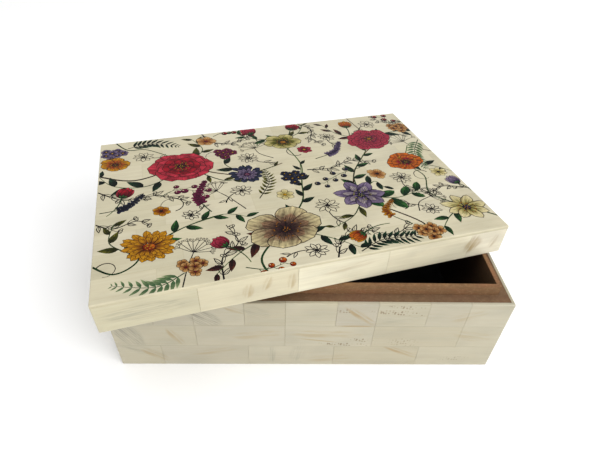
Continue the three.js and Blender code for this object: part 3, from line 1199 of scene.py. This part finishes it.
@dataclass
class FloralPrint:
    """The lid's generic floral print, drawn in millimetres from the middle of the lid."""

    seed: int = 11
    shapes: list[Shape] = field(default_factory=list)

    def pen(self, x: float = 0.0, y: float = 0.0, squash: float = 1.0, squash_heading: float = FAR_SIDE) -> Pen:
        """Return a pen for one motif, with its own seed."""
        self.seed += 1
        return Pen(self.shapes, (x, y), squash, squash_heading, random.Random(self.seed))

    def lay_along(self, *motifs: tuple[Callable[..., None], tuple]) -> None:
        """Print motifs that have routes.

        Args:
            motifs: How each kind is drawn, and its table.
        """
        for draw, rows in motifs:
            for row in rows:
                draw(self.pen(), *row)

    def lay_out(self) -> list[Shape]:
        """Lay the motifs out, the fine ink work first and the flowers last.

        Returns:
            The shapes in the order printed.
        """
        self.lay_along((Pen.ink_sprig, SPRIGS), (Pen.umbel, UMBELS))
        for x, y, *sizes in DAISIES:
            self.pen(x, y, 0.84, 70).ink_daisy(*sizes)
        for x, y, *sizes in TENDRILS:
            self.pen(x, y).stroke(path(*sizes, steps=22), TENDRIL, BLACK)
        for route, width, ink in STEMS:
            self.pen().stroke(route, (width, width * 0.6), ink)
        self.lay_along((Pen.leaves, LEAFY_STEMS), (Pen.frond, FRONDS), (Pen.berries, BERRIES), (Pen.florets, SPIKES))
        self.lay_small_flowers()
        self.lay_large_flowers()
        return self.shapes

    def lay_small_flowers(self) -> None:
        """Print the small flowers, their clusters and the goblets."""
        for x, y, *sizes in CLUSTERS:
            self.pen(x, y).cluster(*sizes)
        for x, y, heading, *sizes in GOBLETS:
            pen = self.pen(x, y)
            pen.stroke(path(heading + 190, 18, -40, 8), GOBLET_STEM, STEM)
            pen.goblet(heading, *sizes)
        for x, y, *sizes in SMALL_FLOWERS:
            self.pen(x, y, 0.86, 60).small_flower((0, 0), *sizes)

    def lay_large_flowers(self) -> None:
        """Print the large open flowers."""
        pen = self.pen(-62, 32, 0.84, 80)
        for radius, count, start, shift in ((21, 7, 10, 0), (17, 7, 34, 1), (13, 6, 0, 2), (8.5, 5, 20, 2.6)):
            pen.ring(radius, count, ROUND, CRIMSON_LIGHT if radius > 15 else CRIMSON, 0.95, CRIMSON,
                     0.08, 0.4, 0.05, 0.14, start, 3, shift)
        pen.heart(2.4, HEART, YELLOW, 14, 1.9, 2.6)
        pen = self.pen(-12, -46, 0.8, 100)
        pen.ring(23, 6, ROUND, SHADED_CREAM, 0.86, FLAME, 0.07, 0.5, 0.06, 0.16, 12, 5)
        pen.heart(3.2, HEART, OCHRE, 20, 2.6)
        pen = self.pen(42, -26, 0.86, 70)
        pen.ring(17, 7, OVAL, VIOLET, 0.6, VIOLET_LIGHT, 0.05, 0.4, 0.08, 0.1, 0, 3)
        pen.heart(2.6, NAVY, LEMON_CREAM, 18, 2.1)
        pen = self.pen(76, 38, 0.84, 100)
        for radius, count, start, shift in ((18, 8, 0, 0), (14.5, 7, 20, 0.8), (11, 7, 45, 1.6), (7, 6, 10, 2.2)):
            pen.ring(radius, count, ROUND, ROSE, 0.78, MAGENTA, 0.06, 0.4, 0.1, 0.12, start, 2, shift)
        pen.heart(1.8, OCHRE, YELLOW, 8, 1.8, 2.2)
        pen = self.pen(-86, -42, 0.86, 80)
        for radius, count, start in ((15, 16, 0), (12, 15, 11), (9, 13, 4)):
            pen.ring(radius, count, SPOON, AMBER, 0.32, None, 0.03, 0.3, 0.1, 0.1, start, 1)
        pen.heart(3.4, ORANGE, YELLOW, 0)
        pen = self.pen(-22, 14, 0.88, 60)
        pen.ring(11.5, 12, SPOON, NAVY, 0.42, VIOLET, 0.12, 0.3, 0.12, 0.1, 0, 1)
        pen.ring(7, 10, POINTED, VIOLET, 0.36, None, 0.05, 0.26, 0.15, 0.1, 16, 0)
        pen.heart(1.8, MAGENTA, VIOLET_LIGHT, 10, 1.9)
        pen = self.pen(100, -54, 0.84, 70)
        pen.ring(15, 8, OVAL, CREAM, 0.56, LEMON_CREAM, 0.06, 0.44, 0.06, 0.12, 8, 3)
        pen.heart(2.8, NAVY, OCHRE, 16, 2.0)
        pen = self.pen(88, 3, 0.82, 95)
        pen.ring(13.5, 5, ROUND, ORANGE, 1.2, AMBER, 0.08, 0.4, 0.05, 0.18, 20, 5)
        pen.ring(9.5, 4, ROUND, ORANGE, 1.1, CRIMSON, 0.08, 0.36, 0.05, 0.18, 60, 3)
        pen.heart(2.2, HEART, YELLOW, 14, 1.9)
        pen = self.pen(12, 50, 0.8, 80)
        pen.ring(14, 6, ROUND, LEMON_CREAM, 0.84, OLIVE, 0.07, 0.44, 0.06, 0.16, 0, 4)
        pen.heart(2.2, OCHRE, YELLOW, 12, 2.2)
        pen = self.pen(-104, 46, 0.84, 60)
        pen.ring(10, 6, ROUND, AMBER, 0.9, ORANGE, 0.07, 0.36, 0.05, 0.12, 10, 3)
        pen.heart(1.8, HEART, YELLOW, 10, 1.8)


@dataclass
class PrintedTop:
    """The lid's top layer of bone tiles with its print, one closed slab under one coat of resin."""

    lid: Face
    underside: float
    top: float
    round_edge: float = 0.8
    steps: int = 4
    half: np.ndarray = field(init=False)

    def __post_init__(self) -> None:
        """Work out the flat top inside the rounded edge."""
        self.half = np.array([LENGTH, DEPTH]) / 2 - self.round_edge

    def partition(self, shapes: list[Shape]) -> tuple[np.ndarray, np.ndarray, np.ndarray]:
        """Cut the flat top along every printed outline that shows.

        Args:
            shapes: The print's shapes in the order printed.

        Returns:
            The points, the triangles, and the topmost shape on each triangle or -1.
        """
        points, edges = [], []
        rectangle = self.half * [(-1, -1), (1, -1), (1, 1), (-1, 1)]
        for outline in (rectangle, *(shape.outline for shape in shapes)):
            start, count = len(points), len(outline)
            points += [tuple(point) for point in outline]
            edges += [(start + i, start + (i + 1) % count) for i in range(count)]
        places, triangles, owner = self.cut(points, edges, shapes)
        names: dict[tuple[str, int], int] = {}
        washes = [names.setdefault((shape.base, 0 if shape.base == shape.tip else index + 1), len(names))
                  for index, shape in enumerate(shapes)]
        # The last of the washes is taken where the owner is -1
        return self.cut(*self.borders(places, triangles, np.array([*washes, -1])[owner]), shapes)

    def cut(self, points: list, edges: list, shapes: list[Shape]) -> tuple[np.ndarray, np.ndarray, np.ndarray]:
        """Triangulate the flat top along edges.

        Args:
            points: The edges' points.
            edges: Pairs of point numbers.
            shapes: The print's shapes in the order printed.

        Returns:
            The points, the triangles from left to right, and the topmost shape on each triangle or -1.
        """
        found = delaunay_2d_cdt([Vector(point) for point in points], edges, [], 0, NEAR, False)
        places = np.array([tuple(point) for point in found[0]])
        triangles = np.array([face for face in found[2] if len(face) == 3])
        middle = places[triangles].mean(axis=1)
        kept = np.all(np.abs(middle) < self.half, axis=1)
        triangles, middle = triangles[kept], middle[kept]
        order = np.argsort(middle[:, 0])
        triangles, middle = triangles[order], middle[order]
        owner = np.full(len(triangles), -1)
        for index in range(len(shapes) - 1, -1, -1):
            outline = shapes[index].outline
            low, high = outline.min(axis=0), outline.max(axis=0)
            first, last = np.searchsorted(middle[:, 0], (low[0], high[0]))
            part = middle[first:last]
            near = first + np.nonzero((owner[first:last] < 0) & (part[:, 1] >= low[1]) & (part[:, 1] <= high[1]))[0]
            owner[near[self.inside(outline, middle[near])]] = index
        return places, triangles, owner

    @staticmethod
    def borders(places: np.ndarray, triangles: np.ndarray, wash: np.ndarray) -> tuple[list, list]:
        """Find the edges at which the wash changes, and the rim's.

        Args:
            places: The points.
            triangles: The triangles.
            wash: A number for the wash on each triangle.

        Returns:
            The points and the pairs of point numbers that are left.
        """
        pairs = np.sort(np.concatenate([triangles[:, [0, 1]], triangles[:, [1, 2]], triangles[:, [2, 0]]]), axis=1)
        sides = np.tile(wash, 3)
        order = np.lexsort((pairs[:, 1], pairs[:, 0]))
        pairs, sides = pairs[order], sides[order]
        twin = np.all(pairs[1:] == pairs[:-1], axis=1)
        alone = ~(np.append(twin, False) | np.append(False, twin))
        kept = np.concatenate([pairs[alone], pairs[1:][twin & (sides[1:] != sides[:-1])]])
        used, compact = np.unique(kept, return_inverse=True)
        return places[used].tolist(), compact.reshape(-1, 2).tolist()

    @staticmethod
    def inside(outline: np.ndarray, points: np.ndarray) -> np.ndarray:
        """Find which points lie inside an outline.

        Args:
            outline: The outline's points.
            points: The points asked about.

        Returns:
            True for each point inside.
        """
        crossed = np.zeros(len(points), dtype=bool)
        for start, end in zip(outline, np.roll(outline, -1, axis=0)):
            spans = (start[1] > points[:, 1]) != (end[1] > points[:, 1])
            rise = end[1] - start[1]
            if rise != 0:
                crossing = start[0] + (points[:, 1] - start[1]) * (end[0] - start[0]) / rise
                crossed ^= spans & (points[:, 0] < crossing)
        return crossed

    def build(self, shapes: list[Shape]) -> Object:
        """Build the slab with its print.

        Args:
            shapes: The print's shapes.

        Returns:
            The slab.
        """
        places, triangles, owner = self.partition(shapes)
        used, compact = np.unique(triangles, return_inverse=True)
        places, triangles = places[used], compact.reshape(-1, 3)
        vertices = [np.column_stack([places, np.full(len(places), self.top)])]
        faces = [tuple(int(i) for i in triangle) for triangle in triangles]

        # The rim is carried out and down round the edge, and then straight down to the underside
        loop = [(index, heading) for index in self.rim(places, triangles) for heading in self.outward(places[index])]
        previous = [index for index, _ in loop]
        spots, headings = places[previous], np.array([heading for _, heading in loop])
        turns = (math.pi / 2 * (k + 1) / self.steps for k in range(self.steps))
        rows = [(self.round_edge * math.sin(a), self.top - self.round_edge * (1 - math.cos(a))) for a in turns]
        count = len(places)
        for reach, level in (*rows, (self.round_edge, self.underside)):
            away = np.column_stack([np.cos(headings), np.sin(headings)]) * reach
            vertices.append(np.column_stack([spots + away, np.full(len(loop), level)]))
            current = list(range(count, count + len(loop)))
            count += len(loop)
            for i in range(len(loop)):
                j = (i + 1) % len(loop)
                quad = (previous[i], current[i], current[j], previous[j])
                faces.append(quad if previous[i] != previous[j] else quad[:3])
            previous = current
        faces.append(tuple(reversed(previous)))

        mesh = bpy.data.meshes.new("printed_lid_top")
        turned = np.array(Matrix.Rotation(self.lid.turn, 3, "Z"))
        mesh.from_pydata((np.concatenate(vertices) @ turned.T * MM + self.lid.corner).tolist(), [], faces)
        self.store_inks(mesh, places[triangles], owner, shapes)
        piece = bpy.data.objects.new("printed_lid_top", mesh)
        bpy.context.scene.collection.objects.link(piece)
        return piece

    def outward(self, point: np.ndarray) -> list[float]:
        """Find the outward headings at a rim point.

        Args:
            point: The point.

        Returns:
            One heading on a side, and a fan of them at a corner.
        """
        on_x, on_y = np.abs(point) > self.half - NEAR
        side_x = 0.0 if point[0] > 0 else math.pi
        side_y = math.pi / 2 if point[1] > 0 else -math.pi / 2
        if not (on_x and on_y):
            return [side_x if on_x else side_y]
        corner = math.atan2(math.copysign(1, point[1]), math.copysign(1, point[0]))
        return [corner + math.pi / 4 * (2 * k / self.steps - 1) for k in range(self.steps + 1)]

    @staticmethod
    def rim(places: np.ndarray, triangles: np.ndarray) -> list[int]:
        """Follow the rim of the flat top.

        Args:
            places: The points.
            triangles: The triangles.

        Returns:
            The outer points in counter-clockwise order.
        """
        sides = {(int(a), int(b)) for t in triangles for a, b in ((t[0], t[1]), (t[1], t[2]), (t[2], t[0]))}
        ahead = {a: b for a, b in sides if (b, a) not in sides}
        first = min(ahead, key=lambda index: places[index][0] + places[index][1])
        loop, current = [first], ahead[first]
        while current != first:
            loop.append(current)
            current = ahead[current]
        return loop

    @staticmethod
    def store_inks(mesh: Mesh, corners: np.ndarray, owner: np.ndarray, shapes: list[Shape]) -> None:
        """Store each corner's inks and its place on its own petal.

        Args:
            mesh: The slab's mesh, with the printed triangles first.
            corners: The three points of each printed triangle.
            owner: The topmost shape on each triangle.
            shapes: The print's shapes.
        """
        base, tip = np.ones((2, len(mesh.loops), 4))
        petal = np.full((len(mesh.loops), 2), -1.0)
        by_owner = np.argsort(owner, kind="stable")
        starts = np.searchsorted(owner[by_owner], np.arange(len(shapes) + 1))
        for index, shape in enumerate(shapes):
            faces = by_owner[starts[index]:starts[index + 1]]
            loops = (faces[:, None] * 3 + np.arange(3)).ravel()
            base[loops], tip[loops] = linear(shape.base), linear(shape.tip)
            if shape.base != BARE:
                local = (corners[faces].reshape(-1, 2) - shape.root) @ np.linalg.inv(shape.basis).T
                petal[loops] = np.column_stack([np.clip(local[:, 0], 0.0, PETAL_REACH), local[:, 1]])
        for name, values in ((BASE_INK, base), (TIP_INK, tip)):
            mesh.color_attributes.new(name, "FLOAT_COLOR", "CORNER").data.foreach_set("color", values.ravel())
        mesh.uv_layers.new(name=PETAL_MAP).data.foreach_set("uv", petal.ravel())


@dataclass
class Box:
    """The box: boards, liner and bone tiles, all kept from the frame.

    The hollow is half the inner length and depth. The black spray ends a little below the lip.
    """

    hollow: Spot = (104.5, 66.4)
    base: float = 5.0
    black_margin: float = 0.5
    tones: tuple[str, ...] = ("#b5af98", "#b4ae99", "#b9b39d", "#b4ad95", "#b8b29b", "#b2ac99")

    def face(self, side: str) -> Face:
        """Find a side's face.

        Args:
            side: The side's name.

        Returns:
            The face.
        """
        if side in ("front", "back"):
            return Face((-LENGTH / 2 * MM, 0, 0))
        return Face((0, (-DEPTH / 2 + BONE + GLUE) * MM, 0), math.pi / 2)

    def marks(self, course: int) -> tuple[Mark, ...]:
        """Place the natural marks that show on one course of the front.

        Args:
            course: The course's number, from below.

        Returns:
            The marks.
        """
        rows = {
            1: ((BAND, 171, 14.2, 15, 2.6, -27, 0.85), (STREAKS, 16, 14, 16, 5, -25, 0.5),
                (STREAKS, 92.5, 11, 10, 3, 88, 0.5), (BAND, 22, 10.6, 11, 4, -36, 0.6),
                (PORES, 206, 7, 12, 3, 2, 0.4), (BAND, 58, 14, 18, 3, 12, 0.4),
                (BAND, 128, 7, 16, 5, 6, 0.35), (STREAKS, 108, 12, 10, 6, 80, 0.3)),
            2: ((PORES, 137, 21.4, 20, 1.7, -3, 0.9), (PORES, 146, 25.6, 10, 1.8, -8, 0.85),
                (PATCH, 120, 25, 14, 0.7, -9, 0.5), (PATCH, 141, 38.5, 12, 0.8, 0, 0.6),
                (BAND, 124, 31, 26, 4.5, -2, 0.5), (STREAKS, 10, 29, 14, 9, -62, 0.8),
                (BAND, 36.5, 28, 10, 3.4, -62, 0.65), (PORES, 171, 23.5, 11, 5.5, -4, 0.45),
                (BAND, 84, 30, 18, 5, 6, 0.4), (BAND, 212, 30, 14, 6, -10, 0.35)),
            3: ((STREAKS, 55, 45, 12, 8, -38, 0.9), (BAND, 143, 47.5, 14, 3.2, -41, 0.85),
                (PORES, 165, 50.4, 20, 2.4, -4, 0.9), (PORES, 169, 55.2, 14, 1.5, -5, 0.85),
                (PATCH, 141, 38.7, 12, 0.8, 0, 0.6), (STREAKS, 84, 50, 10, 6, -24, 0.4),
                (PORES, 134, 52, 6, 3, 0, 0.6), (BAND, 205, 48, 12, 5, 20, 0.35),
                (BAND, 72, 52.2, 8, 2.6, -25, 0.5), (STREAKS, 168, 45, 14, 5, 8, 0.3)),
        }[course]
        return tuple(Mark(*row) for row in rows)

    def dress(self) -> None:
        """Give every node of the box its finish."""
        liners = BoardFinish("Raw fibreboard liner, black inside", Face((0, 0, 0)), self.hollow,
                             self.base - self.black_margin, LIP_TOP - self.black_margin)
        # The wall boards take a darker copy of the liner's fibreboard: painted shade on the ledge below the lip
        walls = replace(liners, name="Raw fibreboard darkened as painted shade, black inside", tone="#70553a", red="#6e4934", pale="#8e7256")
        for finish, names in ((liners.material(), [f"{side}_liner" for side in SIDES]),
                              (walls.material(), [*(f"{side}_board" for side in SIDES), "base_board"])):
            for name in names:
                dress(name, finish)
        # Every course has a seed of its own, so that no two sides have the same grain
        joints = {1: (LOWER_JOINT,), 2: (MIDDLE_JOINT,), 3: (UPPER_JOINT, MIDDLE_JOINT)}
        for number, side in enumerate(SIDES):
            for course, firsts in joints.items():
                marks = self.marks(course) if side == "front" else ()
                finish = BoneFinish(f"Lacquered bone, {side} course {course}", self.face(side), firsts, self.tones,
                                    marks, seed=number * 7.0 + course).material()
                stem = f"front_bone_tile_{course}_" if side == "front" else f"{side}_bone_course_{course}"
                for name in cad_nodes(stem):
                    dress(name, finish)


@dataclass
class Lid:
    """The lid: boards and side tiles kept from the frame, and a printed top that replaces its courses.

    The black spray covers its inner faces between two levels above its underside.
    """

    height: float = 20.0
    hollow: Spot = (107.1, 69.0)
    black_from: float = 0.4
    black_to: float = 12.8
    # The first tone, on the first tile of each side, is the darkest and the later ones are lighter: partly painted
    # shade and light from the key on the right, partly each tile's own tint
    tones: tuple[str, ...] = ("#c0ba9d", "#ccc4a7", "#dbd5bb", "#ded7bc", "#ded7bf")
    printed_tones: tuple[str, ...] = ("#cfc8ad", "#ccc5a9", "#d1cab0", "#ccc5a9")

    def face(self, x: float, y: float, quarter_turns: int = 0) -> Face:
        """Find a face of the lid.

        Args:
            x: Where its pattern starts, along the lid's own length.
            y: Where its pattern starts, along the lid's own depth.
            quarter_turns: How often the pattern is turned on.

        Returns:
            The face.
        """
        low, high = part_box("lid_top_board")
        centre = Vector(((low[0] + high[0]) / 2, (low[1] + high[1]) / 2, LIP_TOP * MM))
        corner = centre + Matrix.Rotation(LID_TURN, 3, "Z") @ Vector((x * MM, y * MM, 0))
        return Face((corner.x, corner.y, corner.z), LID_TURN + quarter_turns * math.pi / 2)

    def dress(self) -> None:
        """Give the lid's boards and side tiles their finish."""
        boards = BoardFinish("Raw fibreboard, black under the lid", self.face(0, 0), self.hollow, self.black_from,
                             self.black_to).material()
        for name in ("lid_top_board", *(f"lid_{side}_board" for side in SIDES)):
            dress(name, boards)
        long_face = self.face(-LENGTH / 2, 0)
        short_face = self.face(0, -DEPTH / 2 + BONE + GLUE, 1)
        marks = tuple(Mark(*row) for row in (
            (PATCH, 207, 11, 7, 4.4, 14, 0.42), (BAND, 206, 11, 8, 6, 70, 0.8), (STREAKS, 24, 10, 26, 7, 1, 0.5),
            (BAND, 74, 9, 6, 4, 80, 0.6), (BAND, 84, 12, 6, 3, 70, 0.6), (BAND, 97, 10, 7, 3, 84, 0.6),
            (BAND, 130, 12, 20, 3, 5, 0.35), (BAND, 221, 10, 6, 3, 70, 0.5)))
        for number, (side, face) in enumerate(zip(SIDES, (long_face, long_face, short_face, short_face))):
            finish = BoneFinish(f"Lacquered bone, lid {side}", face, (LID_SIDE_JOINT,), self.tones,
                                marks if side == "front" else (), roughness=0.3, seed=40.0 + number * 3).material()
            for name in cad_nodes(f"lid_{side}_bone"):
                dress(name, finish)

    def build_top(self) -> Object:
        """Build the printed top.

        Returns:
            The printed slab.
        """
        top = PrintedTop(self.face(0, 0), self.height - BONE, self.height)
        piece = top.build(FloralPrint().lay_out())
        bone = BoneFinish("Bone under the print", self.face(-LENGTH / 2, 0), TOP_JOINTS, self.printed_tones,
                          course_width=DEPTH / len(TOP_JOINTS), front_edge=-DEPTH / 2, joint_share=0.14, seed=90.0)
        piece.data.materials.append(PrintFinish(bone).material())
        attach(piece, "root")
        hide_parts(*cad_nodes("lid_top_bone_course_"))
        LOG.info("built %s with %d faces", piece.name, len(piece.data.polygons))
        return piece


@dataclass
class Studio:
    """A pale floor, soft studio light and the camera.

    The room's tones go from below to above: a darker cove lies between pale walls and a light
    ceiling.
    """

    lens: float = 26.61
    place: Triple = (-0.01526, -0.23546, 0.24482)
    yaw: float = 2.62
    pitch: float = 39.46
    roll: float = 2.44
    floor_size: float = 8.0
    room: tuple[Spot, ...] = ((0.0, 0.53), (0.3, 0.53), (0.42, 0.17), (0.76, 0.17), (0.88, 1.0))
    room_light: float = 1.6
    key_place: Triple = (1.84, -1.54, 1.8)
    key_size: float = 1.9
    key_power: float = 62.0

    def build_floor(self) -> None:
        """Lay the floor."""
        bpy.ops.mesh.primitive_plane_add(size=self.floor_size)
        floor = bpy.context.active_object
        floor.name = "floor"
        material, tree = new_material("Matt white acrylic, lit a little from below")
        shader = add_node(tree, "BsdfPrincipled", {"Base Color": (0.95, 0.95, 0.95, 1), "Roughness": 0.9,
                                                   "Emission Color": (1, 1, 1, 1), "Emission Strength": 0.08})
        add_node(tree, "OutputMaterial", shader)
        floor.data.materials.append(material)

    def build_light(self) -> None:
        """Hang a large soft light to the front right, in a room that lights from all round."""
        world = bpy.data.worlds.new("soft room")
        world.use_nodes = True
        tree = world.node_tree
        height = add_node(tree, "SeparateXYZ", add_node(tree, "TexCoord").outputs["Generated"]).outputs[2]
        room = ramp(tree, height, [(level, (share,) * 3 + (1,)) for level, share in self.room], "LINEAR")
        tree.links.new(room.outputs["Color"], tree.nodes["Background"].inputs["Color"])
        tree.nodes["Background"].inputs["Strength"].default_value = self.room_light
        bpy.context.scene.world = world
        light = bpy.data.lights.new("softbox", "AREA")
        light.shape = "SQUARE"
        light.size = self.key_size
        light.energy = self.key_power
        lamp = bpy.data.objects.new("softbox", light)
        bpy.context.scene.collection.objects.link(lamp)
        lamp.location = self.key_place
        lamp.rotation_euler = (-lamp.location).to_track_quat("-Z", "Y").to_euler()

    def build_camera(self) -> None:
        """Stand the camera where the photograph was taken."""
        yaw, pitch, roll = (math.radians(angle) for angle in (self.yaw, self.pitch, self.roll))
        ahead = Vector((math.sin(yaw) * math.cos(pitch), math.cos(yaw) * math.cos(pitch), -math.sin(pitch)))
        level = Vector((math.cos(yaw), -math.sin(yaw), 0))
        upright = level.cross(ahead)
        right = level * math.cos(roll) + upright * math.sin(roll)
        up = upright * math.cos(roll) - level * math.sin(roll)
        camera = bpy.data.cameras.new("camera")
        camera.sensor_width = 36.0
        camera.lens = self.lens
        camera.clip_start = 0.01
        stand = bpy.data.objects.new("camera", camera)
        bpy.context.scene.collection.objects.link(stand)
        turn = Matrix((right, up, -ahead)).transposed().to_4x4()
        stand.matrix_world = Matrix.Translation(Vector(self.place)) @ turn
        bpy.context.scene.camera = stand

    def build(self) -> None:
        """Set the stage."""
        self.build_camera()
        self.build_floor()
        self.build_light()
        bpy.context.scene.view_settings.view_transform = "Standard"


def main() -> None:
    """Set the stage, dress the frame and build the printed top."""
    logging.basicConfig(level=logging.INFO)
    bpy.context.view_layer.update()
    bpy.ops.object.select_all(action="DESELECT")
    Studio().build()
    Box().dress()
    lid = Lid()
    lid.dress()
    lid.build_top()


if __name__ == "__main__":
    main()
